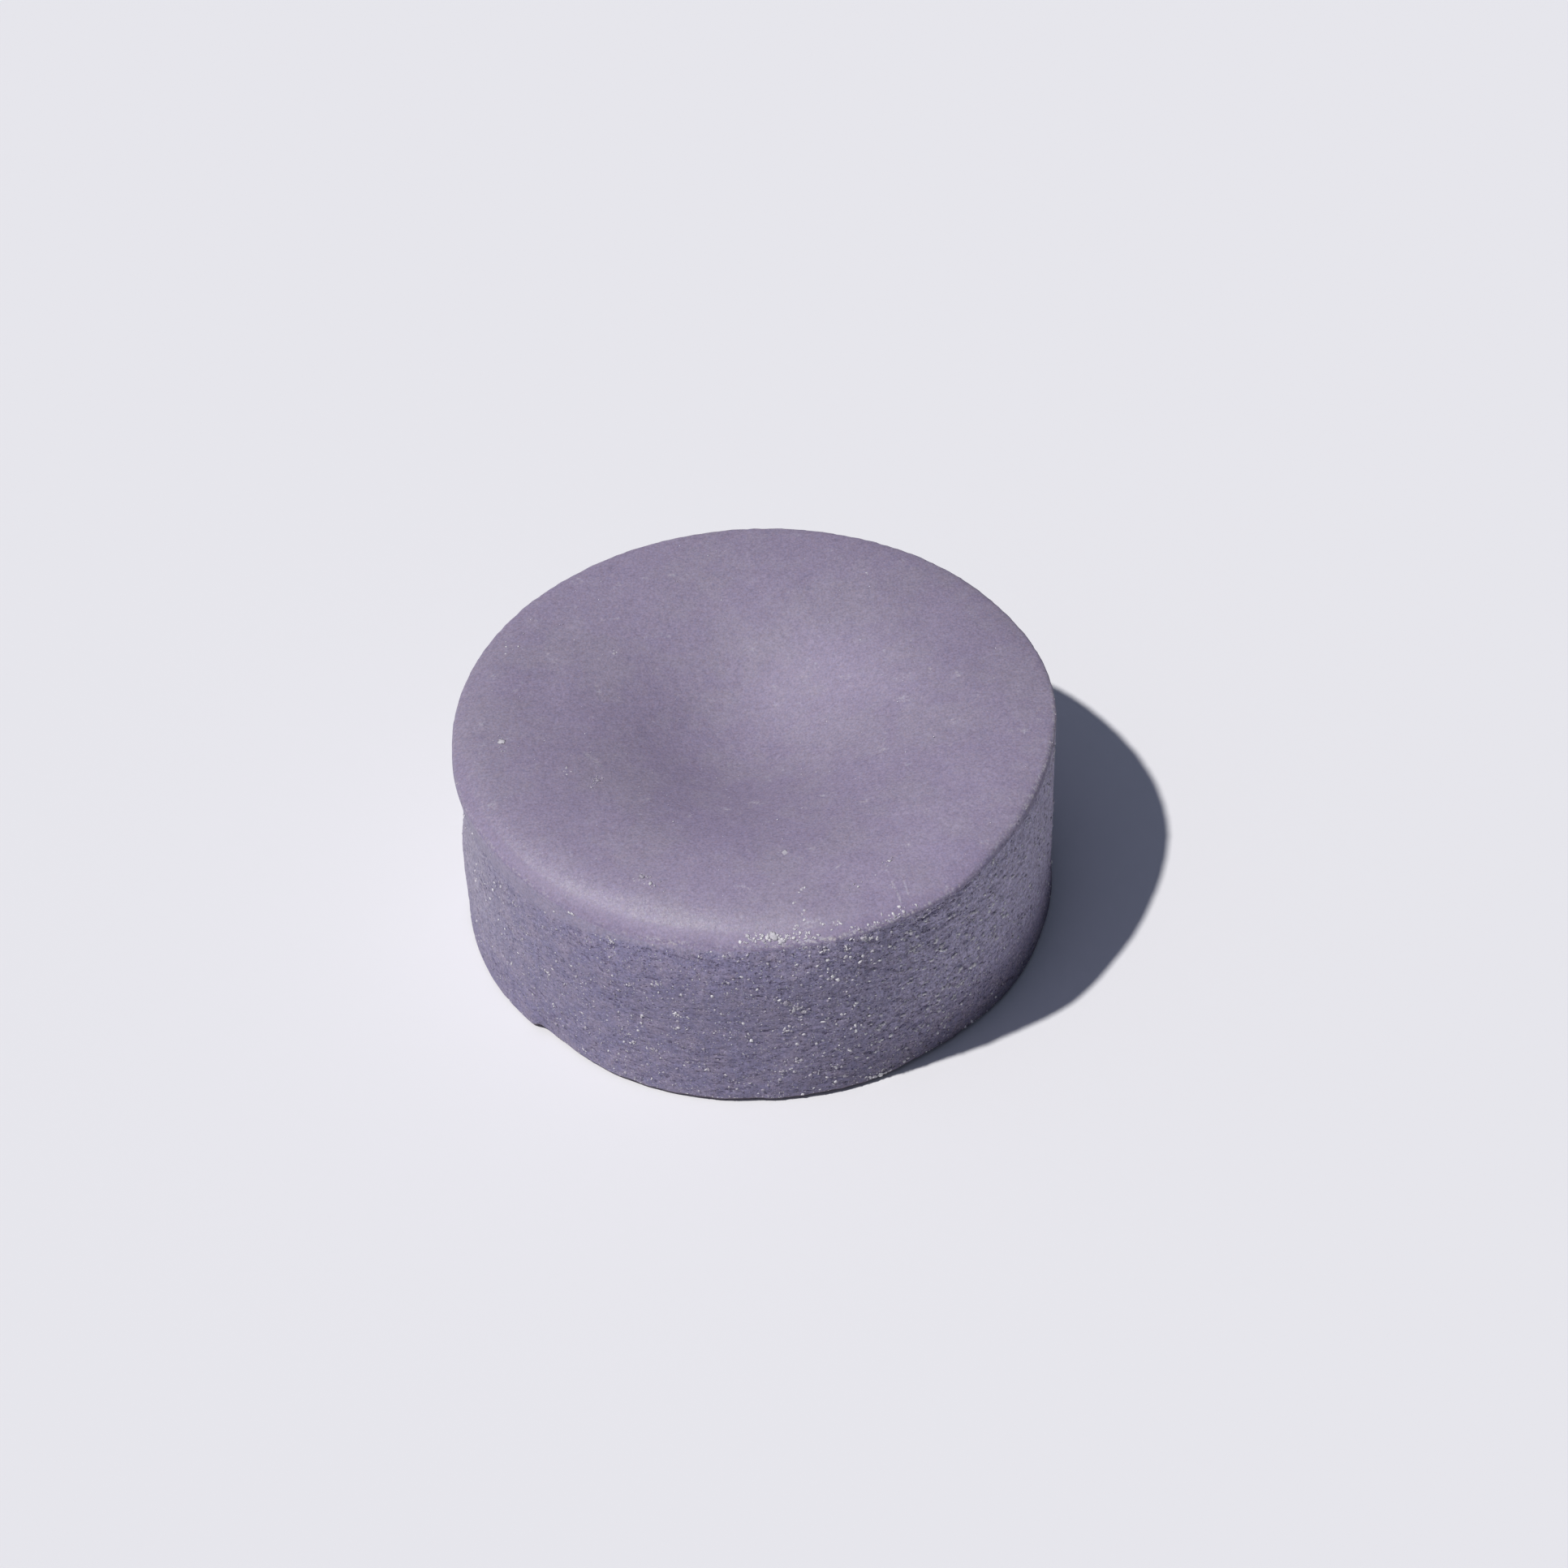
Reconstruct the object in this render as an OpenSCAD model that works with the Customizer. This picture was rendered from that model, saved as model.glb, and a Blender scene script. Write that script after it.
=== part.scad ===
// Hard shaving soap, cast as a round puck with a shallow hollow in its top.
// It is one piece of soap, with a few crumbs of dried soap stuck to it.
// Millimetres, +Z up. The origin is the middle of the flat base.

/* [Puck] */
// Diameter of the straight side wall
puck_d = 60; // [50:0.5:75]
// Height from the base to the crest of the rim
puck_h = 22.4; // [16:0.1:35]
// Radius of the rounding between the crest and the side wall
rim_round = 2.2; // [0.8:0.1:4]
// Radius of the small rounding between the side wall and the base
base_round = 0.6; // [0.2:0.1:1.5]

/* [Hollow] */
// Depth of the hollow's middle below the crest
hollow_depth = 5; // [1:0.1:8]
// Distance from the middle to where the hollow's side is steepest
hollow_spread = 10; // [6:0.1:11]

/* [Crumbs] */
// Width of the largest crumb
crumb_w = 0.9; // [0.5:0.05:1.5]
// Number of crumbs in the cluster on the rim
rim_crumb_count = 11; // [3:1:20]

/* [Hidden] */

puck_r = puck_d / 2;
crest_r = puck_r - rim_round;
top_steps = 36;          // rings that the hollow is drawn with
arc_steps = 8;           // chords in each rounding's quarter circle
slope_step = 0.05;       // distance over which the hollow's slope is taken
crumb_sides = 6;
crumb_sunk = 0.05;       // how deep a crumb's foot sits in the soap
cluster_from = -94;      // degrees round from +X where the rim's cluster starts
cluster_to = -80;
cluster_lean = [0, 38];  // lean of the crumbs on the rounding, from level outwards
golden_turn = 137.5;     // degrees that spread the cluster's crumbs evenly

// The top's crumbs: degrees round from +X, distance from the axis, share of the largest width.
top_spots = [
    [-82, 18.0, 1.0], [-75, 17.5, 0.5], [-58, 23.5, 0.5],
    [-120, 23.0, 0.8], [-117, 23.5, 0.6], [-160, 16.5, 0.5],
    [-168, 19.0, 0.7], [180, 25.0, 0.8], [137, 18.5, 0.6]
];

$fn = 96;

// Height of a bell-shaped hollow at a distance r from the axis, below a crest at puck_h.
function bell_z(r) = puck_h - hollow_depth * exp(-pow(r / hollow_spread, 2) / 2);

// The bell, lifted a little towards the rim so that it meets the crest exactly.
function top_z(r) = bell_z(r) + (puck_h - bell_z(crest_r)) * r / crest_r;

// Angle of the hollow's side at a distance r, in degrees from level.
function top_slope(r) = atan((top_z(r + slope_step) - top_z(r - slope_step)) / (2 * slope_step));

// A quarter circle of radius r about [x, z], from angle a0 to a1.
function quarter(x, z, r, a0, a1) =
    [for (i = [0 : arc_steps]) let (a = a0 + (a1 - a0) * i / arc_steps) [x + r * cos(a), z + r * sin(a)]];

function puck_outline() = concat(
    [[0, 0]],
    quarter(puck_r - base_round, base_round, base_round, -90, 0),
    quarter(crest_r, puck_h - rim_round, rim_round, 0, 90),
    [for (i = [top_steps - 1 : -1 : 0]) let (r = crest_r * i / top_steps) [r, top_z(r)]]
);

// The soap itself, turned about its axis.
module soap_puck() {
    color([0.57, 0.53, 0.63])
        rotate_extrude()
            polygon(puck_outline());
}

// One ring of a crumb: an irregular oval of crumb_sides points.
function crumb_ring(w, z) = [
    for (i = [0 : crumb_sides - 1])
        let (a = 360 * i / crumb_sides, r = w / 2 * (i % 2 == 0 ? 1 : 0.78))
            [r * cos(a), 0.65 * r * sin(a), z]
];

// A flat-footed lump of dried soap, w wide and about a third as high.
module crumb(w) {
    n = crumb_sides;
    polyhedron(
        points = concat(crumb_ring(w, -crumb_sunk), crumb_ring(0.55 * w, 0.3 * w)),
        faces = concat(
            [[for (i = [0 : n - 1]) i]],
            [[for (i = [n - 1 : -1 : 0]) n + i]],
            [for (i = [0 : n - 1]) [i, n + i, n + (i + 1) % n, (i + 1) % n]]
        )
    );
}

// Puts a crumb at distance r and height z, a degrees round, leaning outwards and turned on the spot.
module place_crumb(a, r, z, lean, turn) {
    rotate([0, 0, a])
        translate([r, 0, z])
            rotate([0, lean, 0])
                rotate([0, 0, turn])
                    children();
}

// The cluster on the front of the rim, spread over the upper part of the rounding.
module rim_crumbs() {
    color([0.82, 0.80, 0.84])
        for (i = [0 : rim_crumb_count - 1]) {
            share = (i + 0.5) / rim_crumb_count;
            lean = cluster_lean[0] + (cluster_lean[1] - cluster_lean[0]) * abs(sin(i * golden_turn));
            place_crumb(
                a = cluster_from + (cluster_to - cluster_from) * share,
                r = crest_r + rim_round * sin(lean),
                z = puck_h - rim_round * (1 - cos(lean)),
                lean = lean,
                turn = i * golden_turn
            )
                crumb(crumb_w * (0.55 + 0.45 * abs(cos(i * golden_turn))));
        }
}

// Single crumbs scattered over the hollow, each lying on its side.
module top_crumbs() {
    color([0.76, 0.74, 0.79])
        for (spot = top_spots)
            place_crumb(
                a = spot[0],
                r = spot[1],
                z = top_z(spot[1]),
                lean = -top_slope(spot[1]),
                turn = 3 * spot[0]
            )
                crumb(crumb_w * spot[2]);
}

soap_puck();
rim_crumbs();
top_crumbs();
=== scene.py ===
import math
import bpy
import numpy as np
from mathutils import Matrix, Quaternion, Vector


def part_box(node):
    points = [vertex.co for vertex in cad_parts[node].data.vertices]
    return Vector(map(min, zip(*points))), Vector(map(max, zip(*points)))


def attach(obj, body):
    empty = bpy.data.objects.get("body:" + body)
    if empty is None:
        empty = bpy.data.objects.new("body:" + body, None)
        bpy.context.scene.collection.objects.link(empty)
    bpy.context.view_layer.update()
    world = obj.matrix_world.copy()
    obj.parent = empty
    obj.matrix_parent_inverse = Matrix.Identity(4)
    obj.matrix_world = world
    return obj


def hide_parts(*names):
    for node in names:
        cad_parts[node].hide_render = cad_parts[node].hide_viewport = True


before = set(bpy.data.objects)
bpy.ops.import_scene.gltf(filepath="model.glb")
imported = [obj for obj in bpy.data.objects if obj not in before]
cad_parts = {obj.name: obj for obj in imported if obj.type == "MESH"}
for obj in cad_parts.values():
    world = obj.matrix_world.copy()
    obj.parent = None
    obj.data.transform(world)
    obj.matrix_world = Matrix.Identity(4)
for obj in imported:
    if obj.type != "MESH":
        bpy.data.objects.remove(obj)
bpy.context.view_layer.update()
mm = 0.001  # every size below is in millimetres, and meshes are scaled by this once
puckLow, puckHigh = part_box("soap_puck")
puckRadius = (puckHigh.x - puckLow.x) / 2 / mm
puckHeight = (puckHigh.z - puckLow.z) / mm
print("frame loaded: puck radius %.2f mm, height %.2f mm" % (puckRadius, puckHeight))


# A random field on a grid that wraps round both ways: white noise whose waves shorter than
# waveUp and waveRound (mm) are faded out by exp(-1.5 (wave / length)^2), scaled to a spread of 1.
def softNoise(shape, cellUp, cellRound, waveUp, waveRound, seed):
    spectrum = np.fft.rfft2(np.random.default_rng(seed).standard_normal(shape))
    up = np.fft.fftfreq(shape[0], cellUp)[:, None] * waveUp
    across = np.fft.rfftfreq(shape[1], cellRound)[None, :] * waveRound
    spectrum[0, 0] = 0
    field = np.fft.irfft2(spectrum * np.exp(-1.5 * (up ** 2 + across ** 2)), shape)
    return field / field.std()


# A field read between its grid points: the four nearest values, each weighted by how near it is.
# Both directions wrap round.
def readField(field, row, column):
    rows, columns = field.shape[:2]
    row0 = np.floor(row).astype(int)
    column0 = np.floor(column).astype(int)
    partRow = row - row0
    partColumn = column - column0
    if field.ndim == 3:
        partRow = partRow[..., None]
        partColumn = partColumn[..., None]

    # one row's value between its two nearest columns
    def alongRow(index):
        left = field[index % rows, column0 % columns]
        right = field[index % rows, (column0 + 1) % columns]
        return left * (1 - partColumn) + right * partColumn

    return alongRow(row0) * (1 - partRow) + alongRow(row0 + 1) * partRow


# Values set at a few bearings, joined round the circle by straight lines and then softened by a
# bell that is soften degrees wide.
def roundCurve(bearings, values, angle, soften):
    steps = 720
    fine = np.arange(steps) * 360 / steps
    curve = np.interp(fine, bearings % 360, values, period=360)
    waves = np.fft.rfftfreq(steps, 360 / steps)
    curve = np.fft.irfft(np.fft.rfft(curve) * np.exp(-2 * (math.pi * soften * waves) ** 2), steps)
    return np.interp(np.degrees(angle) % 360, np.append(fine, 360), np.append(curve, curve[0]))


# 0 below low, 1 above high, and an S curve 3t^2 - 2t^3 in between.
def ease(value, low, high):
    t = np.clip((value - low) / (high - low), 0, 1)
    return t * t * (3 - 2 * t)


# Part of the way from low to high.
def between(low, high, share):
    return low + (high - low) * share


# Vectors shortened or lengthened to 1.
def unit(vectors):
    return vectors / np.linalg.norm(vectors, axis=-1)[..., None]


# Points at a distance from the axis, a bearing in radians and a height.
def polar(distance, turn, height):
    x = distance * np.cos(turn)
    return np.stack([x, distance * np.sin(turn), height + 0 * x], -1)


# Turns an array of points (mm) and a list of faces into an object that rides on the puck's body.
def addPiece(name, points, faces, material, cadNodes=(), attributes=None):
    mesh = bpy.data.meshes.new(name)
    mesh.from_pydata((points * mm).tolist(), [], faces)
    mesh.shade_smooth()
    for attributeName, values in (attributes or {}).items():
        attribute = mesh.attributes.new(attributeName, "FLOAT", "POINT")
        attribute.data.foreach_set("value", values.astype(np.float32))
    mesh.materials.append(material)
    piece = bpy.data.objects.new(name, mesh)
    bpy.context.scene.collection.objects.link(piece)
    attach(piece, "root")
    if cadNodes:
        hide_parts(*cadNodes)
    print("%s: %d faces" % (name, len(mesh.polygons)))


# One socket of a node tree. Arithmetic on it adds Math nodes, and node() adds any other node.
class Wire:
    def __init__(self, tree, socket=None):
        self.tree = tree
        self.socket = socket

    # Adds a node of that kind, sets its settings, then its sockets, and gives one of its outputs.
    def node(self, kind, settings=None, inputs=None, output=0):
        made = self.tree.nodes.new(kind)
        for key, value in (settings or {}).items():
            setattr(made, key, value)
        for key, value in (inputs or {}).items():
            if isinstance(value, Wire):
                self.tree.links.new(value.socket, made.inputs[key])
            else:
                made.inputs[key].default_value = value
        return Wire(self.tree, made.outputs[output])

    # A Math node of one or two inputs.
    def maths(self, operation, first, second=0.0):
        return self.node("ShaderNodeMath", {"operation": operation}, {0: first, 1: second})

    # Sums, differences and products, with a wire or a number on either side, and the absolute value.
    def __add__(self, other):
        return self.maths("ADD", self, other)

    __radd__ = __add__

    def __sub__(self, other):
        return self.maths("SUBTRACT", self, other)

    def __rsub__(self, other):
        return self.maths("SUBTRACT", other, self)

    def __mul__(self, other):
        return self.maths("MULTIPLY", self, other)

    __rmul__ = __mul__

    def __abs__(self):
        return self.maths("ABSOLUTE", self)

    # The larger of this and a limit, and the smaller.
    def atLeast(self, limit):
        return self.maths("MAXIMUM", self, limit)

    def atMost(self, limit):
        return self.maths("MINIMUM", self, limit)

    # 0 below low, 1 above high, an S curve between.
    def ease(self, low, high):
        inputs = {"Value": self, "From Min": low, "From Max": high}
        return self.node("ShaderNodeMapRange", {"interpolation_type": "SMOOTHSTEP"}, inputs)

    # One of this vector's three parts, "X", "Y" or "Z".
    def part(self, axis):
        return self.node("ShaderNodeSeparateXYZ", None, {0: self}, axis)

    # A vector times three numbers.
    def stretched(self, x, y, z):
        return self.node("ShaderNodeVectorMath", {"operation": "MULTIPLY"}, {0: self, 1: (x, y, z)})

    # This vector, pushed to and fro by noise at a number of waves per unit of another.
    def bent(self, place, scale, amount):
        push = place.noise(scale, output="Color")
        return self.node("ShaderNodeVectorMath", {"operation": "MULTIPLY_ADD"},
                         {0: push, 1: (amount, amount, amount), 2: self})

    # Noise at a number of waves per unit of this vector.
    def noise(self, scale, detail=2.0, roughness=0.5, output=0):
        inputs = {"Vector": self, "Scale": scale, "Detail": detail, "Roughness": roughness}
        return self.node("ShaderNodeTexNoise", None, inputs, output)

    # Round spots of a cell pattern on this vector: 1 within near of a cell's middle and 0 beyond
    # far, in the share of the cells whose random number is high, eased from few to most.
    def cells(self, scale, near, far, few, most):
        inputs = {"Vector": self, "Scale": scale, "Randomness": 1.0}
        away = self.node("ShaderNodeTexVoronoi", None, inputs, "Distance")
        tint = self.node("ShaderNodeTexVoronoi", None, inputs, "Color")
        pick = self.node("ShaderNodeSeparateColor", None, {0: tint}, 0)
        return (1 - away.ease(near, far)) * pick.ease(few, most)

    # One colour, with share of another mixed in.
    def mixing(self, share, first, second, blend="MIX"):
        return self.node("ShaderNodeMix", {"data_type": "RGBA", "blend_type": blend},
                         {0: share, 6: first, 7: second}, 2)

    # This colour, with share of another one mixed in.
    def mixed(self, share, other):
        return self.mixing(share, self, other)

    # A shader's normal from a height in mm.
    def relief(self):
        return self.node("ShaderNodeBump", None, {"Strength": 1.0, "Distance": mm, "Height": self})

    # Links this into a shader's socket.
    def into(self, shader, name):
        self.tree.links.new(self.socket, shader.inputs[name])


# A colour as a node's socket wants it.
def rgb(red, green, blue):
    return (red, green, blue, 1.0)


# A new material, its shader node, a wire to build from, and the place on the object in mm.
def newMaterial(name):
    material = bpy.data.materials.new(name)
    material.use_nodes = True
    tree = material.node_tree
    start = Wire(tree)
    place = start.node("ShaderNodeTexCoord", output="Object").stretched(1 / mm, 1 / mm, 1 / mm)
    return material, tree.nodes["Principled BSDF"], start, place


soapFinish = {
    "topColour": rgb(0.272, 0.226, 0.330),
    "topGrey": rgb(0.276, 0.236, 0.322),
    "topPurple": rgb(0.262, 0.215, 0.327),
    "wallColour": rgb(0.215, 0.191, 0.313),
    "wallWarm": rgb(0.252, 0.216, 0.316),
    "frostColour": rgb(0.408, 0.370, 0.520),
    "frostWarm": rgb(0.385, 0.352, 0.425),  # the same where the wall is least crumbly
    # the colour of pits and dashes: painted shade in the hollows
    "pitShadeColour": rgb(0.105, 0.085, 0.160),
    "wornColour": rgb(0.288, 0.254, 0.346),
    "shadeStripColour": rgb(0.222, 0.176, 0.284),
    "paleEdge": rgb(0.520, 0.500, 0.520),
    "paleSpeck": rgb(0.520, 0.505, 0.530),
    "underColour": rgb(0.110, 0.070, 0.075),
    "topRoughness": 0.62,
    "burnishedRoughness": 0.51,  # of the band worn glossy round the front left of the rim, where the highlight falls
    "wallRoughness": 0.76,
    "specular": 0.80,
    "refraction": 1.46,
    "topBump": 0.009,     # height of the finest grain on the top, mm
    "wallBump": 0.030,    # and on the wall
    "dashDepth": 0.05,    # of the finest torn dashes on the wall
    "speckHeight": 0.03,  # of its finest pale specks
    "paleScuffAndHighlight": 0.20,        # how whitish the burnished band is painted: pale scuffs and a painted highlight
    "smudge": 0.36,       # how strong the whitish smudges on the top are
    "paintedLightAndShade": 0.085,      # painted light: brightness added where the mesh's mark is 1, painted shade where it is below zero
    "hueShift": 0.22,     # how far fine grains differ between red and blue
    # faint pale streaks on the top: ends x, y, x, y and half width, mm, and how strong
    "streaks": [(12.4, -22.4, 13.3, -25.4, 0.17, 0.34), (13.4, -21.8, 14.1, -24.8, 0.13, 0.24),
                (6.8, -20.9, 7.9, -19.8, 0.14, 0.36), (-17.0, -1.2, -14.9, -3.6, 0.30, 0.22)],
}


# Share of a streak at a place: 1 on the line between its ends, eased to 0 at its half width
# and over 0.4 mm at either end.
def streak(place, x0, y0, x1, y1, halfWidth, strength):
    length = math.hypot(x1 - x0, y1 - y0)
    alongX = (x1 - x0) / length
    alongY = (y1 - y0) / length
    x = place.part("X") - x0
    y = place.part("Y") - y0
    along = x * alongX + y * alongY
    across = abs(y * alongX - x * alongY)
    ends = along.ease(0, 0.4) * (1 - along.ease(length - 0.4, length))
    return (1 - across.ease(halfWidth * 0.3, halfWidth)) * ends * strength


# Base colour: the top's and the wall's own colours mottled by noise, then each mark that the mesh
# carries mixed in by its share, and all of it times 1 + a powdery grain. Some marks are painted
# light and shade: the dark of the pits and dashes and the strip along the edge are painted shade,
# the pale on the burnished band is partly a painted highlight, and the grain is scaled up or down
# for a painted sheen or painted shade. Roughness: the top's, plus the wall's and the burnished
# band's differences by their shares. Normal: noise, dashes and specks finer than the mesh.
def makeSoapMaterial(look):
    material, shader, start, place = newMaterial("soap_lilac")
    mask = {}
    for name in ("wall", "worn", "pitShade", "edge", "shadeStrip", "under", "frost", "burnish", "paintedLightAndShade", "crumble"):
        mask[name] = start.node("ShaderNodeAttribute", {"attribute_name": name}, output="Fac")
    flat = place.stretched(1, 1, 1.9)  # waves lie along the wall
    rough = mask["wall"] * (1 - mask["worn"])
    cloud = place.noise(0.13, 3, 0.55)
    blotch = place.noise(0.55, 3, 0.6)
    freckle = place.noise(2.1, 3, 0.65)
    powder = place.noise(4.4, 3, 0.75)
    tint = place.noise(3.4, 2, 0.7)

    # the top: three close colours in clouds, and the streaks
    top = start.mixing((cloud * 0.6 + blotch * 0.4).ease(0.42, 0.60), look["topColour"], look["topGrey"])
    top = top.mixed(place.noise(0.09, 5, 0.65).ease(0.48, 0.70) * 0.7, look["topPurple"])
    for line in look["streaks"]:
        top = top.mixed(streak(place, *line) * freckle.ease(0.35, 0.6), look["paleSpeck"])

    # the wall: two colours in blotches, frosted or worn by its masks
    wall = start.mixing(blotch.ease(0.38, 0.66), look["wallColour"], look["wallWarm"])
    frost = start.mixing(mask["crumble"].ease(0.1, 0.6), look["frostWarm"], look["frostColour"])
    wall = wall.mixed(mask["frost"] * (0.55 + 0.45 * freckle.ease(0.35, 0.65)), frost)
    wall = wall.mixed(mask["worn"] * 0.7, look["wornColour"])
    colour = top.mixed(mask["wall"], wall)
    # the dark strip along the edge: painted shade where the highlight ends
    colour = colour.mixed(mask["shadeStrip"], look["shadeStripColour"])

    # torn dashes: the mesh has the larger ones, cells of a flattened pattern the finest. Their dark colour,
    # and the pits', is painted shade in the hollows, made stronger where the wall crumbles
    torn = flat.bent(place, 2.5, 0.5)
    dash = torn.cells(1.6, 0.13, 0.33, 0.30, 0.70) + torn.cells(3.1, 0.16, 0.38, 0.32, 0.75) * 0.8
    dash = dash.atMost(1.0) * rough * (1 - 0.45 * mask["frost"])
    dash = dash * (1 + 0.9 * mask["crumble"])
    colour = colour.mixed((mask["pitShade"] * 0.8 + dash * 0.72).ease(0.0, 1.05), look["pitShadeColour"])

    # pale specks, one in a cell, in some of the cells only
    speck = place.cells(2.1, 0.10, 0.26, 0.52, 0.85) + place.cells(4.3, 0.12, 0.34, 0.45, 0.8)
    speck = speck * rough
    colour = colour.mixed((speck * (0.75 + 0.5 * mask["crumble"])).ease(0.0, 1.05), look["paleSpeck"])

    # pale scuffs and a painted highlight on the burnished band, smudges on the top, the broken edge and the
    # dark underside
    paleScuffAndHighlight = mask["burnish"] * place.noise(3.2, 3, 0.7).ease(0.50, 0.58)
    colour = colour.mixed(paleScuffAndHighlight * look["paleScuffAndHighlight"], look["paleSpeck"])
    smudge = place.noise(0.42, 4, 0.62).ease(0.60, 0.72) * freckle.ease(0.45, 0.62) * (1 - mask["wall"])
    colour = colour.mixed(smudge * look["smudge"], look["paleSpeck"])
    crumbly = place.noise(2.6, 3, 0.75).ease(0.46, 0.60)
    colour = colour.mixed(mask["edge"] * crumbly, look["paleEdge"])
    colour = colour.mixed(mask["under"] * 0.85, look["underColour"])

    # a powdery grain over everything, stronger on the wall and strongest where it crumbles
    grain = 1 + (powder - 0.5) * (1.05 + 0.30 * rough + 0.7 * mask["crumble"])
    grain = grain + (freckle - 0.5) * (0.48 + 0.34 * rough + 0.4 * mask["crumble"])
    grain = grain + (blotch - 0.5) * 0.22
    # painted light and shade: the grain is scaled up for a painted sheen at the top's front, and down for
    # painted shade at its left and back and at the foot
    grain = grain * (1 + mask["paintedLightAndShade"] * look["paintedLightAndShade"])
    shift = (tint - 0.5) * look["hueShift"]
    shade = start.node("ShaderNodeCombineColor", None, {0: grain + shift, 1: grain, 2: grain - shift})
    start.mixing(1.0, colour, shade, "MULTIPLY").into(shader, "Base Color")

    roughness = mask["wall"] * (look["wallRoughness"] - look["topRoughness"])
    roughness = roughness + mask["burnish"] * (look["burnishedRoughness"] - look["topRoughness"])
    roughness = roughness + look["topRoughness"] + (powder - 0.5) * 0.16 + (blotch - 0.5) * 0.08
    roughness.into(shader, "Roughness")

    topGrain = (place.noise(3.2, 4, 0.75) - 0.5) * look["topBump"] * 2 * (1 + 3.0 * mask["burnish"])
    wallGrain = (flat.noise(2.0, 4, 0.75) - 0.5) * look["wallBump"] * 2
    wallGrain = wallGrain - dash * look["dashDepth"] + speck * look["speckHeight"]
    height = topGrain + wallGrain * (rough * 0.85 + mask["wall"] * 0.15)
    height.relief().into(shader, "Normal")
    shader.inputs["IOR"].default_value = look["refraction"]
    shader.inputs["Specular IOR Level"].default_value = look["specular"]
    return material


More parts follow.
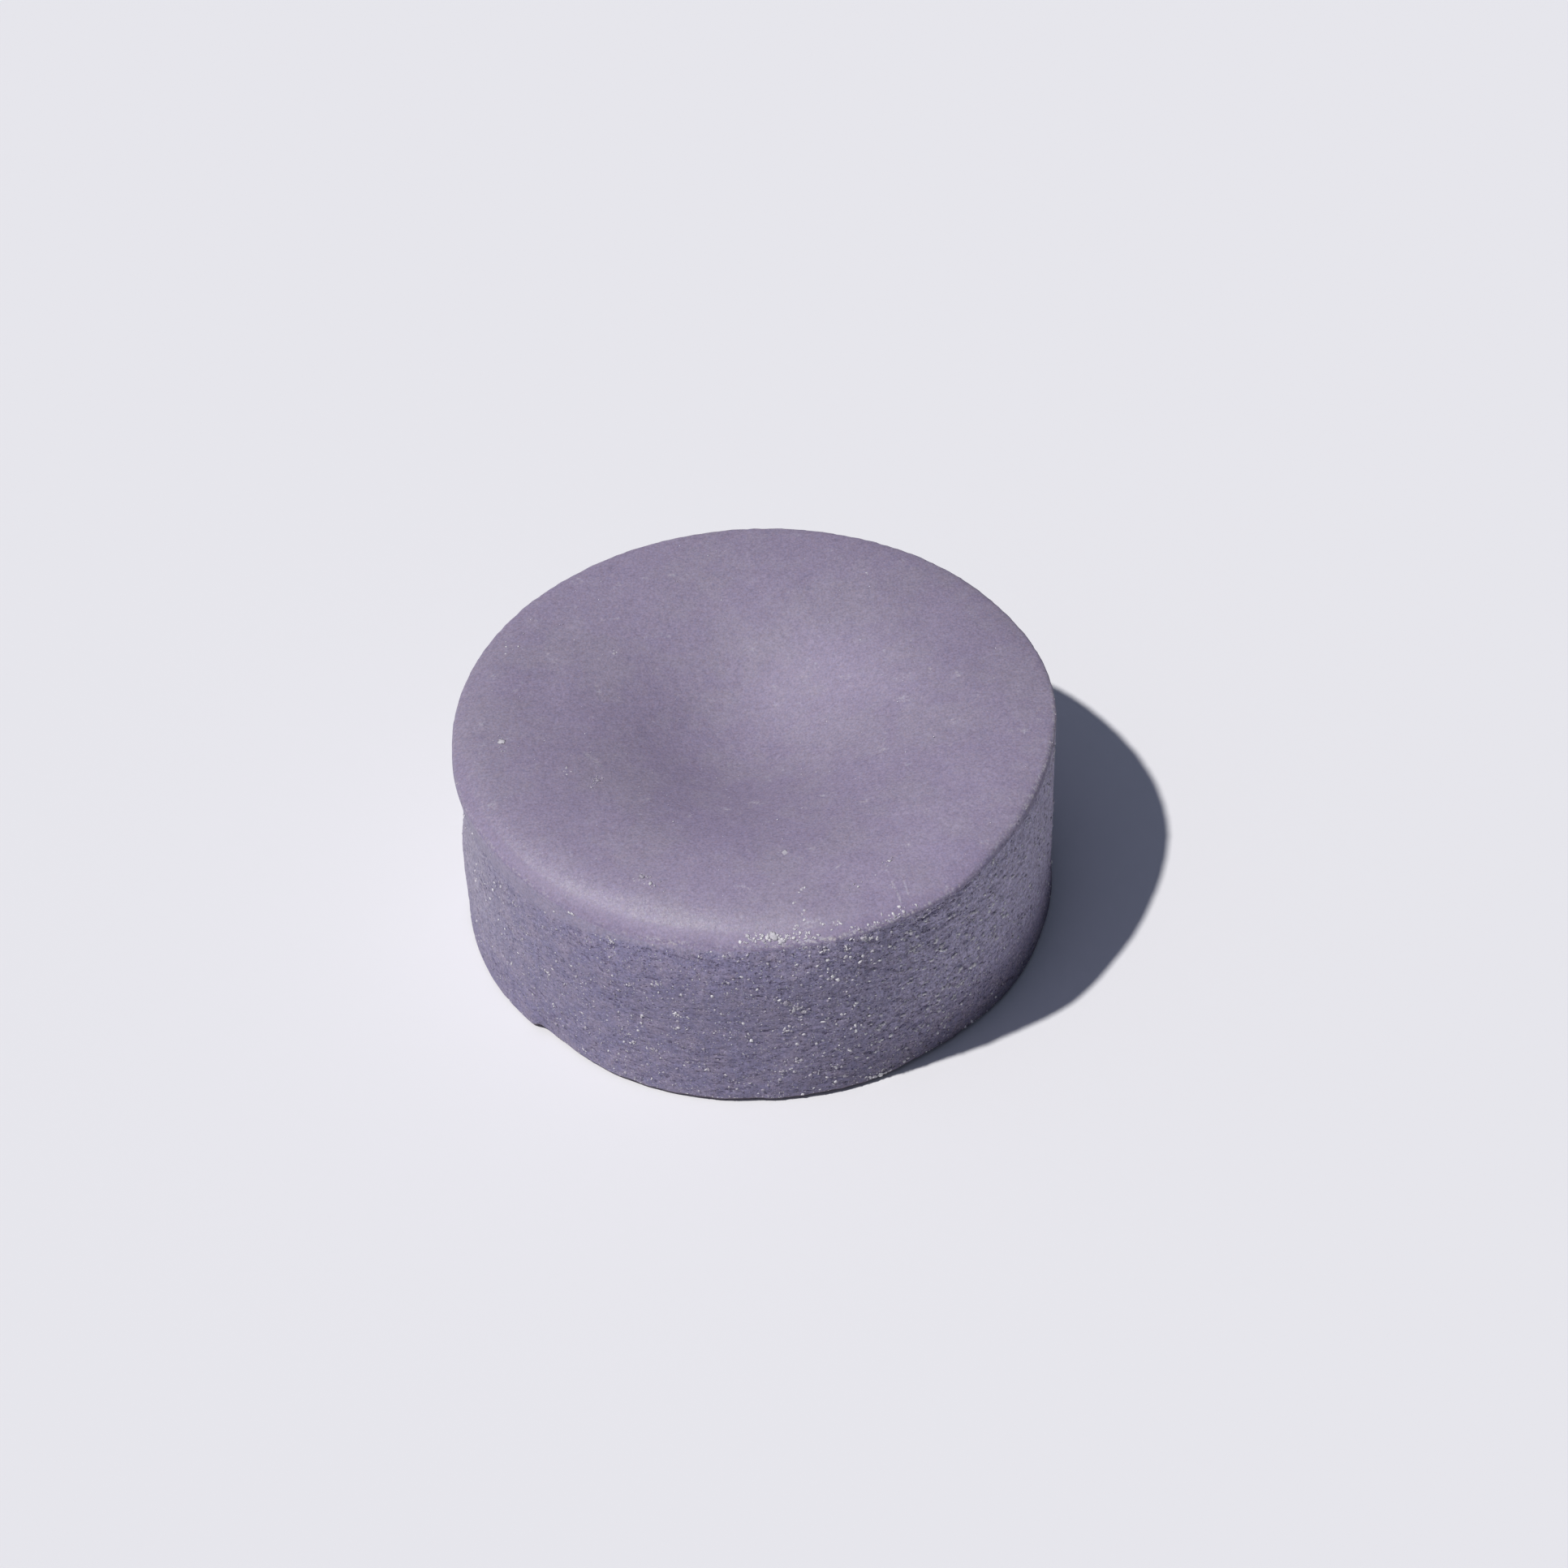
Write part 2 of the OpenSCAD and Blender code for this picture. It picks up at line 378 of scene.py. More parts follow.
puck = {
    "columns": 480,
    "topRows": 44, "cornerRows": 6, "wallRows": 140,
    # hollow: a bell exp(-d^power / 2) with d the distance from its middle in spreads
    "hollowDepth": 5.04, "hollowMiddle": (-0.3, 2.1), "hollowSpread": (9.5, 8.9), "hollowPower": 2.17,
    # the top is uneven in broad waves and fine dimples: length of the waves, height
    "topWaves": (6.0, 0.035), "topDimples": (1.6, 0.0035),
    # shoulder: the top droops by drop * t^power over its last width mm
    "shoulderWidth": 7.6, "shoulderPower": 3.9,
    # rim: bearing, droop of the edge, its distance from the axis, softness of the corner,
    # smooth band below it, how pale the edge is, how far the wall is drawn in below it
    "rim": [
        (-180, 1.00, 30.0, 0.35, 2.3, 0.1, 0.62), (-168, 1.05, 29.9, 0.30, 2.3, 0.25, 0.62),
        (-155, 1.20, 29.4, 0.25, 2.3, 0.3, 0.40), (-140, 1.65, 29.0, 0.25, 2.1, 0.35, 0.15),
        (-132, 1.95, 28.7, 0.25, 1.8, 0.15, 0.0), (-118, 2.25, 28.5, 0.30, 0.7, 0.1, 0.0),
        (-109, 2.10, 28.4, 0.30, 0.4, 0.7, 0.0), (-101, 1.90, 28.4, 0.35, 0.4, 0.1, 0.0),
        (-90, 1.50, 28.75, 0.40, 0.3, 0.5, 0.0), (-74, 1.00, 29.6, 0.35, 0.3, 0.9, 0.0),
        (-61, 0.95, 29.7, 0.35, 0.3, 0.8, 0.0), (-52, 0.90, 30.05, 0.40, 0.3, 0.2, 0.0),
        (-38, 0.75, 29.4, 0.60, 0.3, 0.3, 0.0), (-20, 0.55, 29.6, 0.70, 0.4, 0.6, 0.0),
        (0, 0.20, 30.5, 0.60, 0.6, 0.5, 0.0), (14, 0.40, 30.75, 0.60, 0.6, 0.1, 0.0),
        (30, 0.60, 30.65, 0.60, 0.6, 0.0, 0.0), (50, 0.60, 30.7, 0.60, 0.6, 0.0, 0.0),
        (85, 0.35, 30.3, 0.60, 0.8, 0.0, 0.0), (120, 0.45, 30.4, 0.60, 1.0, 0.0, 0.0),
        (145, 0.70, 30.55, 0.50, 1.6, 0.0, 0.2), (162, 0.85, 30.4, 0.45, 2.0, 0.0, 0.5),
    ],
    # foot: bearing, distance of the wall's foot from the axis, lift of its edge, smooth band above it
    "foot": [
        (-170, 30.05, 0.10, 1.9), (-152, 30.0, 0.10, 1.9), (-144, 29.9, 0.10, 1.9), (-142, 29.85, 0.12, 1.9),
        (-140.8, 29.65, 0.90, 1.9), (-139.6, 29.45, 0.55, 1.9), (-138, 29.35, 0.30, 1.9),
        (-133, 29.45, 0.22, 1.9), (-127, 29.8, 0.20, 1.8), (-122, 30.0, 0.22, 1.6), (-100, 30.05, 0.26, 1.0),
        (-93, 29.95, 0.36, 0.9), (-90, 30.15, 0.25, 0.9), (-86, 30.15, 0.28, 0.8), (-77, 30.1, 0.32, 0.8),
        (-60, 29.75, 0.40, 0.6), (-50, 29.7, 0.35, 0.6), (-40, 29.95, 0.28, 0.6), (-20, 29.8, 0.18, 0.6),
        (0, 29.95, 0.15, 0.8), (60, 30.0, 0.12, 1.0), (120, 30.0, 0.12, 1.4),
    ],
    "footReach": 5.0,     # the foot's own unevenness fades out over this height
    "flareHeight": 6.0,   # over this height the wall eases from the foot's radius to the edge's
    # frosted wall, with fewer pits: bearing, share
    "frost": [(-180, 0.7), (-160, 0.6), (-148, 0.2), (-130, 0.0), (-95, 0.0), (-72, 0.35), (-55, 0.85),
              (-35, 1.0), (-10, 0.9), (40, 0.3), (100, 0.5), (150, 0.4)],
    # painted light and shade on the outer part of the top: above zero a painted sheen at the front, below
    # zero painted shade at the left and back: bearing, share
    "paintedLightAndShade": [(-180, -0.6), (-150, -0.1), (-130, 0.7), (-110, 0.9), (-90, 1.0), (-60, 1.1), (-40, 1.3),
               (-20, 0.5), (0, -0.4), (15, -0.9), (40, -1.0), (60, -0.5), (90, -0.3), (120, -0.1),
               (160, -0.6)],
    # how crumbly the wall is: bearing, share
    "crumble": [(-180, 0.1), (-130, 0.1), (-95, 0.3), (-78, 0.8), (-60, 1.35), (-44, 1.2), (-32, 0.55),
                (-5, 0.6), (60, 0.5), (150, 0.2)],
    # dark strip along the edge, painted shade where the highlight ends, and the band inside it that is worn
    # glossy and carries a painted highlight: bearing, share
    "shadeStrip": [(-180, 0.0), (-165, 0.5), (-150, 1.0), (-90, 1.0), (-60, 0.5), (-40, 0.0)],
    "burnish": [(-180, 0.0), (-170, 0.1), (-155, 0.55), (-135, 0.8), (-118, 1.0), (-100, 0.9),
                (-85, 0.3), (-70, 0.0)],
    # the wall's relief: wave's height and its lengths up and round the wall
    "broadWave": (0.05, 7.0, 9.0), "middleWave": (0.016, 0.7, 1.8), "grainWave": (0.014, 0.25, 0.7),
    "pitCount": 9000, "pitLength": (0.14, 0.42), "pitHeight": (0.08, 0.15), "pitDepth": (0.03, 0.12),
    "fullPit": 0.09,      # a pit this deep gets the full painted shade
    # grooves on the wall: bearing and height of each end, half width, depth
    "grooves": [(-84.5, 6.6, -79.5, 8.4, 0.13, 0.08), (-57, 20.7, -45, 21.0, 0.13, 0.10),
                (-60, 19.9, -47, 20.2, 0.11, 0.09), (-72.5, 17.0, -71.0, 16.5, 0.13, 0.08)],
    # underside: how far in from the wall, how high in mm above the share of the edge's lift
    "footRings": [(0.02, 0.25, 1.0), (0.10, 0.08, 1.0), (0.30, 0.0, 1.0), (1.0, 0.0, 0.75),
                  (2.6, 0.0, 0.12), (4.0, 0.0, 0.0), (14.0, 0.0, 0.0)],
}


# Height of the top at a point: crest, less the hollow's bell, less the shoulder's droop.
def topHeight(look, x, y, edgeRadius, droop):
    across = (x - look["hollowMiddle"][0]) / look["hollowSpread"][0]
    along = (y - look["hollowMiddle"][1]) / look["hollowSpread"][1]
    bell = np.exp(-0.5 * np.hypot(across, along) ** look["hollowPower"])
    t = np.clip((np.hypot(x, y) - edgeRadius) / look["shoulderWidth"] + 1, 0, None)
    return puckHeight - look["hollowDepth"] * bell - droop * t ** look["shoulderPower"]


# Shape and marks of the rim, the wall and the foot at some bearings, as a dictionary of arrays:
# each column of a table of stations, joined round the circle and softened by so many degrees.
def puckOutline(look, angle):
    tables = (
        ("rim", ("droop", "edgeRadius", "corner", "wornBand", "edgePale", "drawnIn"), 2.5),
        ("foot", ("footRadius", "lift", "footBand"), 0.5),
        ("foot", ("wallRadius",), 9.0),
        ("frost", ("frost",), 5.0),
        ("paintedLightAndShade", ("paintedLightAndShade",), 5.0),
        ("crumble", ("crumble",), 5.0),
        ("shadeStrip", ("shadeStrip",), 4.0),
        ("burnish", ("burnish",), 4.0),
    )
    outline = {}
    for table, names, soften in tables:
        stations = np.array(look[table])
        for column, name in enumerate(names, 1):
            outline[name] = roundCurve(stations[:, 0], stations[:, column], angle, soften)
    outline["edgeHeight"] = puckHeight - outline["droop"]
    return outline


# Distance of the wall without relief from the axis at some heights: the foot's own, eased to the
# wall's over the foot's reach, plus t^2 of what the edge overhangs, less what the wall is drawn in.
def wallRadius(look, outline, height):
    below = outline["edgeHeight"] - height
    t = np.clip((look["flareHeight"] - below) / look["flareHeight"], 0, 1)
    drawn = outline["drawnIn"] * ease(below, 0.2, 3.0) * (1 - ease(below, 7.0, 13.0))
    footUneven = (outline["footRadius"] - outline["wallRadius"]) * (1 - ease(height, 0, look["footReach"]))
    overhang = (outline["edgeRadius"] - outline["wallRadius"]) * t * t
    return outline["wallRadius"] + overhang + footUneven - drawn


# Stamps elongated pits on the wall's grid: each one lowers the grid round its middle by
# depth * exp(-(distance in half lengths)^4), the distance being turned by the pit's lean.
def stampPits(relief, pits, cellUp, cellRound):
    row, column, length, height, depth, lean = pits[..., None, None]
    rowIndex = np.round(row).astype(int) + np.arange(-4, 5)[:, None]
    columnIndex = np.round(column).astype(int) + np.arange(-5, 6)
    up = (rowIndex - row) * cellUp
    across = (columnIndex - column) * cellRound
    along = across * np.cos(lean) + up * np.sin(lean)
    off = up * np.cos(lean) - across * np.sin(lean)
    amount = depth * np.exp(-((along / length) ** 2 + (off / height) ** 2) ** 2)
    inside = (rowIndex >= 0) & (rowIndex < len(relief))
    place = np.broadcast_arrays(np.clip(rowIndex, 0, len(relief) - 1), columnIndex % relief.shape[1])
    np.minimum.at(relief, tuple(place), np.where(inside, -amount, 0))


# Scatters pits at random over the wall's grid, where a patchy field and the calm bands let them be.
def scatterPits(look, patch, calm, outline, cellUp, cellRound):
    rng = np.random.default_rng(21)
    rows, columns = patch.shape
    count = look["pitCount"]
    rowAt = rng.uniform(0, rows - 1, count)
    columnAt = rng.uniform(0, columns, count)
    chance = ease(readField(patch, rowAt, columnAt), -1.8, 1.6) * (1 - readField(calm, rowAt, columnAt))
    chance *= 1 - 0.35 * readField(outline["frost"][None], 0 * columnAt, columnAt)
    kept = rng.uniform(0, 1, count) < chance
    size = rng.uniform(0, 1, count) ** 1.6  # most of them small
    length = between(*look["pitLength"], size)
    height = rng.uniform(*look["pitHeight"], count)
    depth = between(*look["pitDepth"], rng.uniform(0.2, 1, count) * (0.4 + 0.6 * size))
    lean = rng.normal(0, 0.3, count)
    relief = np.zeros((rows, columns))
    pits = np.array([rowAt, columnAt, length, height, depth, lean])
    stampPits(relief, pits[:, kept], cellUp, cellRound)
    return relief


# The wall's relief on a grid of rows from the rim down and columns round it, in mm outwards:
# broad waves, middle ones and fine grain, pits, and grooves -depth * exp(-(distance / width)^2).
# Also gives how much painted shade each point gets from the pits, and how much of the worn finish shows
# there.
def wallRelief(look, angle, heights, outline):
    cellUp = (puckHeight - 2) / heights.shape[0]
    cellRound = 2 * math.pi * puckRadius / heights.shape[1]

    # one of the look's waves, a soft field times its height
    def waves(name, seed):
        height, up, across = look[name]
        return height * softNoise(heights.shape, cellUp, cellRound, up, across, seed)

    wave = waves("broadWave", 11)
    grain = waves("middleWave", 12) + waves("grainWave", 13)
    patch = softNoise(heights.shape, cellUp, cellRound, 2.5, 6.0, 14)

    # worn bands under the rim and above the foot
    below = outline["edgeHeight"] - heights
    worn = 1 - ease(below, outline["wornBand"] * 0.8, outline["wornBand"] * 1.2 + 0.25)
    wornFoot = 1 - ease(heights, outline["footBand"] * 0.7, outline["footBand"] * 1.3 + 0.2)
    calm = np.maximum(worn, wornFoot * 0.85)
    pits = scatterPits(look, patch, calm, outline, cellUp, cellRound)

    # grooves, as distance from a line on the unrolled wall
    for bearing0, height0, bearing1, height1, halfWidth, depth in look["grooves"]:
        turn = (np.degrees(angle) - bearing0 + 180) % 360 - 180
        x = np.radians(turn)[None, :] * puckRadius + 0 * heights
        y = heights - height0
        endX = math.radians(bearing1 - bearing0) * puckRadius
        endY = height1 - height0
        t = np.clip((x * endX + y * endY) / (endX ** 2 + endY ** 2), 0, 1)
        gap = np.hypot(x - t * endX, y - t * endY) + 4 * grain
        pits = np.minimum(pits, -depth * np.exp(-(gap / halfWidth) ** 2))
    relief = wave + grain * (1 - 0.8 * calm) * (1 + 0.7 * outline["crumble"]) + pits
    return relief, np.clip(-pits / look["fullPit"], 0, 1), worn


# The marks that the material reads, from each point's height, its distance from the axis and the
# part of the body that it's on: 0 the top, 1 the corner, 2 the wall, 3 the underside.
def puckMasks(look, grid, part, outline, pitShade, worn):
    distance = np.hypot(grid[..., 0], grid[..., 1])
    height = grid[..., 2]
    inward = outline["edgeRadius"] - distance
    below = outline["edgeHeight"] - height
    wall = np.zeros(distance.shape)
    wall[part == 1] = np.linspace(0.1, 0.9, look["cornerRows"])[:, None]
    wall[part >= 2] = 1
    wornMask = np.zeros(distance.shape)
    wornMask[part == 1] = worn[:1]
    wornMask[part == 2] = worn
    # painted shade of the pits, on the wall only
    pitShadeMask = np.zeros(distance.shape)
    pitShadeMask[part == 2] = pitShade
    under = np.zeros(distance.shape)
    under[part == 3] = 1
    under[np.argmax(part == 3)] = 0.3
    part = part[:, None]
    onTop = part <= 1
    edge = np.exp(-((below - 0.05) / 0.22) ** 2) * (part >= 1) * outline["edgePale"]
    edge = np.clip(edge, 0, 1)
    # the strip of painted shade along the edge, beyond the highlight
    shadeStrip = (1 - ease(inward, 0.9, 1.3)) * onTop * 0.75 * outline["shadeStrip"]
    # the burnished band starts 4 mm from the edge and is nearly over where the dark strip starts
    burnish = (1 - ease(inward, 2.2, 4.0)) * (0.15 + 0.85 * ease(inward, 0.85, 1.35))
    burnish *= onTop * outline["burnish"]
    # painted shade at the wall's foot on its shaded side, where it is both frosted and crumbly, partly also a
    # duller colour
    footShade = 4.4 * (1 - ease(height, 0.0, 7.5)) + 2.4 * (1 - ease(height, 0.0, 3.2))
    footShade *= outline["frost"] * ease(outline["crumble"], 0.2, 0.55) * (part >= 2)
    # painted sheen and shade on the outer top, less the painted shade at the foot
    paintedLightAndShade = outline["paintedLightAndShade"] * ease(distance, 15, 24) * onTop - footShade
    frost = outline["frost"] * (part >= 2) * ease(height, 1.5, 11.0)
    return {"wall": wall, "worn": wornMask, "pitShade": pitShadeMask, "edge": edge, "shadeStrip": shadeStrip, "under": under,
            "frost": frost, "burnish": burnish, "paintedLightAndShade": paintedLightAndShade, "crumble": outline["crumble"] * (part == 2)}


# Faces of rows of points carried round an axis, closed by a fan at either end. The two poles come
# after the grid's points, the first row's first.
def closedFaces(rows, columns):
    ring = np.arange(columns)
    ringNext = (ring + 1) % columns
    start = np.arange(rows - 1)[:, None] * columns
    below = start + columns
    quads = np.stack([start + ring, below + ring, below + ringNext, start + ringNext], -1)
    firstPole = np.full(columns, rows * columns)
    firstFan = np.stack([firstPole, ring, ringNext], -1)
    lastRow = (rows - 1) * columns
    lastFan = np.stack([firstPole + 1, lastRow + ringNext, lastRow + ring], -1)
    return quads.reshape(-1, 4).tolist() + firstFan.tolist() + lastFan.tolist()


# The whole closed body, as rows of points carried round the axis: the top from its middle out,
# a corner on a quadratic curve, the wall down to its foot, and the base back in to the middle.
def makePuck(look, material):
    columns = look["columns"]
    angle = np.arange(columns) * 2 * math.pi / columns
    outline = puckOutline(look, angle)
    corner = outline["corner"]
    edgeRadius = outline["edgeRadius"]
    edgeHeight = outline["edgeHeight"]
    roundStep = 2 * math.pi * puckRadius / columns

    # top: rings closer together towards the rim, by 1.5 u - 0.5 u^2
    cell = 0.25
    waveLength, waveHeight = look["topWaves"]
    dimpleLength, dimpleHeight = look["topDimples"]
    uneven = softNoise((256, 256), cell, cell, waveLength, waveLength, 31) * waveHeight
    uneven += softNoise((256, 256), cell, cell, dimpleLength, dimpleLength, 32) * dimpleHeight
    u = np.arange(1, look["topRows"] + 1)[:, None] / look["topRows"]
    radius = (1.5 * u - 0.5 * u * u) * (edgeRadius - corner)
    topPoints = polar(radius, angle, 0)
    x, y = topPoints[..., 0], topPoints[..., 1]
    unevenHere = readField(uneven, y / cell, x / cell) * (1 - 0.6 * ease(radius, 24, 30))
    topPoints[..., 2] = topHeight(look, x, y, edgeRadius, outline["droop"]) + unevenHere

    # wall: even steps down to a little above the foot's lifted edge
    v = np.arange(1, look["wallRows"] + 1)[:, None] / look["wallRows"]
    wallTop = edgeHeight - corner
    footTop = outline["lift"] + 0.35
    heights = between(wallTop, footTop, v)
    relief, pitShade, worn = wallRelief(look, angle, heights, outline)
    relief = relief * ease(v, 0.0, 0.012)
    wallPoints = polar(wallRadius(look, outline, heights) + relief, angle, heights)

    # corner: a quadratic curve from the top's last ring to the wall's start, drawn to the sharp
    # edge, and nicked in the middle
    s = np.arange(1, look["cornerRows"] + 1)[:, None] / look["cornerRows"]
    t = s[..., None]
    sharp = polar(edgeRadius, angle, edgeHeight)
    last = polar(wallRadius(look, outline, wallTop), angle, wallTop)
    cornerPoints = (1 - t) ** 2 * topPoints[-1] + 2 * t * (1 - t) * sharp + t * t * last
    nick = softNoise((look["cornerRows"], columns), 0.1, roundStep, 0.2, 0.9, 41)
    nick *= 0.02 * np.sin(math.pi * s)
    cornerPoints[..., :2] *= 1 + (nick / puckRadius)[..., None]
    cornerPoints[..., 2] += nick * 0.6

    # foot: a small curve under the wall, then a shallow rise of the base to where it rests
    footRadius = wallRadius(look, outline, footTop) + relief[-1]
    ragged = softNoise((4, columns), 1.0, roundStep, 1.0, 1.6, 42)[0] * 0.05
    lift = np.clip(outline["lift"] + ragged, 0.04, None)
    footPoints = np.stack([polar(footRadius - inset, angle, height + share * lift)
                           for inset, height, share in look["footRings"]])

    parts = [topPoints, cornerPoints, wallPoints, footPoints]
    grid = np.concatenate(parts)
    part = np.repeat(np.arange(4), [len(points) for points in parts])
    masks = puckMasks(look, grid, part, outline, pitShade, worn)
    # the poles: the top's carries what its first point does, the base's is wall and underside
    middle = topHeight(look, 0.0, 0.0, puckRadius, 0) + uneven[0, 0]
    points = np.concatenate([grid.reshape(-1, 3), [(0, 0, middle), (0, 0, 0)]])
    for name, values in masks.items():
        masks[name] = np.append(values.ravel(), [values[0, 0], float(name in ("wall", "under"))])
    addPiece("soap_body", points, closedFaces(len(grid), columns), material, ["soap_puck"], masks)
    return wallPoints


driedFinish = {
    "pale": rgb(0.80, 0.785, 0.795),
    "dull": rgb(0.33, 0.295, 0.37),
    "roughness": 0.85,
    "bump": 0.03,  # height of the grain, mm
}


# Base colour: from dull to pale by each lump's own share plus noise. Roughness and bump: fine noise.
def makeDriedMaterial(look):
    material, shader, start, place = newMaterial("soap_dried")
    pale = start.node("ShaderNodeAttribute", {"attribute_name": "pale"}, output="Fac")
    patch = place.noise(1.3, 2, 0.6)
    grain = place.noise(9.0, 3, 0.65)
    share = pale + (patch - 0.5) * 0.5 + (grain - 0.5) * 0.6
    start.mixing(share.ease(0.0, 1.0), look["dull"], look["pale"]).into(shader, "Base Color")
    ((grain - 0.5) * 0.2 + look["roughness"]).into(shader, "Roughness")
    (grain * look["bump"]).relief().into(shader, "Normal")
    return material


lumpRagged = 0.42  # how far the points of a dried lump are moved in or out, as a share


# A unit ball with few faces: an octahedron, with each face split in four as many times as asked.
def ball(splits):
    points = np.array([(1, 0, 0), (-1, 0, 0), (0, 1, 0), (0, -1, 0), (0, 0, 1), (0, 0, -1)], float)
    faces = np.array([(0, 2, 4), (2, 1, 4), (1, 3, 4), (3, 0, 4),
                      (2, 0, 5), (1, 2, 5), (3, 1, 5), (0, 3, 5)])
    for _ in range(splits):
        edges = np.sort(np.concatenate([faces[:, [0, 1]], faces[:, [1, 2]], faces[:, [2, 0]]]), 1)
        unique, where = np.unique(edges, axis=0, return_inverse=True)
        ab, bc, ca = where.reshape(3, -1) + len(points)
        points = np.concatenate([points, unit(points[unique[:, 0]] + points[unique[:, 1]])])
        a, b, c = faces.T
        quarters = ((a, ab, ca), (ab, b, bc), (ca, bc, c), (ab, bc, ca))
        faces = np.concatenate([np.stack(corners, -1) for corners in quarters])
    return points, faces


# Many lumps as one mesh: copies of a ball, each point of each copy moved in or out at random,
# then flattened, turned on the spot and laid on the surface at its place and facing.
def scatterLumps(places, facings, sizes, splits, ragged, flatness, seed):
    rng = np.random.default_rng(seed)
    corners, faces = ball(splits)
    count = len(places)
    local = corners * (1 + ragged * rng.uniform(-1, 1, (count, len(corners), 1)))
    width = rng.uniform(0.35, 0.95, count)
    height = rng.uniform(0.7, 1.3, count) * flatness
    local = local * np.stack([np.ones(count), width, height], -1)[:, None]
    spin = rng.uniform(0, 2 * math.pi, count)[:, None]
    side = unit(np.cross(facings, (0.31, 0.17, 0.94)))  # any direction that no facing has
    along = side * np.cos(spin) + np.cross(facings, side) * np.sin(spin)
    axes = np.stack([along, np.cross(facings, along), facings], 1)
    points = places[:, None] + (local @ axes) * sizes[:, None, None] / 2
    allFaces = faces + (np.arange(count) * len(corners))[:, None, None]
    return points.reshape(-1, 3), allFaces.reshape(-1, 3)


# Middles and widths of the separate lumps of a CAD node: corners that share a place or a triangle
# get one label; a lump's width is twice the way from its middle to its farthest corner.
def lumpsOf(nodeName):
    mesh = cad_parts[nodeName].data
    points = np.zeros(len(mesh.vertices) * 3)
    mesh.vertices.foreach_get("co", points)
    mesh.calc_loop_triangles()
    triangles = np.zeros(len(mesh.loop_triangles) * 3, int)
    mesh.loop_triangles.foreach_get("vertices", triangles)
    corners, where = np.unique(np.round(points.reshape(-1, 3) / mm, 3), axis=0, return_inverse=True)
    triangles = where.ravel()[triangles].reshape(-1, 3)
    label = np.arange(len(corners))
    for _ in range(20):  # more than enough rounds for the lowest label to go all over a lump
        low = label[triangles].min(1)
        for k in range(3):
            np.minimum.at(label, triangles[:, k], low)
    lumps = [corners[label == value] for value in np.unique(label)]
    middles = np.array([lump.mean(0) for lump in lumps])
    widths = np.array([2 * np.linalg.norm(lump - lump.mean(0), axis=1).max() for lump in lumps])
    return middles, widths


# Places and facings on the wall at some bearings and heights, read from the finished wall's grid.
def onWall(wallPoints, bearing, height):
    rows, columns = wallPoints.shape[:2]
    column = (bearing % 360) / 360 * columns
    top = readField(wallPoints[:1, :, 2], 0 * column, column)
    foot = readField(wallPoints[-1:, :, 2], 0 * column, column)
    row = np.clip((top - height) / (top - foot), 0, 1) * (rows - 1)
    place = readField(wallPoints, np.minimum(row, rows - 1.001), column)
    return place, polar(1, np.radians(bearing), 0)


# Places and facings on the top at some bearings and distances from the axis, the facing from the
# fall of the surface over a tenth of a millimetre. What would be past the edge is mirrored back.
def onTop(bearing, distance):
    turn = np.radians(bearing)
    outline = puckOutline(puck, turn)
    limit = outline["edgeRadius"] - 0.25
    distance = limit - np.abs(limit - distance)

    # height of the even top
    def height(x, y):
        return topHeight(puck, x, y, outline["edgeRadius"], outline["droop"])

    step = 0.1
    x, y = polar(distance, turn, 0).T[:2]
    z = height(x, y)
    facing = np.stack([z - height(x + step, y), z - height(x, y + step), step + 0 * z], -1)
    return np.stack([x, y, z], -1), unit(facing)


# Bearings, distances or heights, and widths of small grains strewn round larger ones: a bell of
# so many mm about each, and widths that are mostly small.
def strew(rng, places, around, reach, widths, radius):
    count = len(places) * around
    first = np.repeat(places[:, 0], around) + np.degrees(rng.normal(0, reach, count) / radius)
    second = np.repeat(places[:, 1], around) + rng.normal(0, reach * 0.6, count)
    return np.stack([first, second, between(*widths, rng.uniform(0, 1, count) ** 1.8)], -1)


# Makes lumps and their share of paleness, the same for all the points of a lump.
def paleLumps(rng, places, facings, sizes, splits, ragged, flatness, seed, pale):
    points, faces = scatterLumps(places, facings, sizes, splits, ragged, flatness, seed)
    share = rng.uniform(*pale, len(sizes))
    return points, faces, np.repeat(share, len(points) // len(sizes))


# Joins several sets of lumps into one piece, none of them below the floor.
def addLumps(name, parts, material, cadNodes=()):
    starts = np.cumsum([0] + [len(part[0]) for part in parts])
    points = np.concatenate([part[0] for part in parts])
    faces = np.concatenate([part[1] + start for part, start in zip(parts, starts)])
    pale = np.concatenate([part[2] for part in parts])
    points[:, 2] = np.maximum(points[:, 2], 0.02)
    addPiece(name, points, faces.tolist(), material, cadNodes, {"pale": pale})


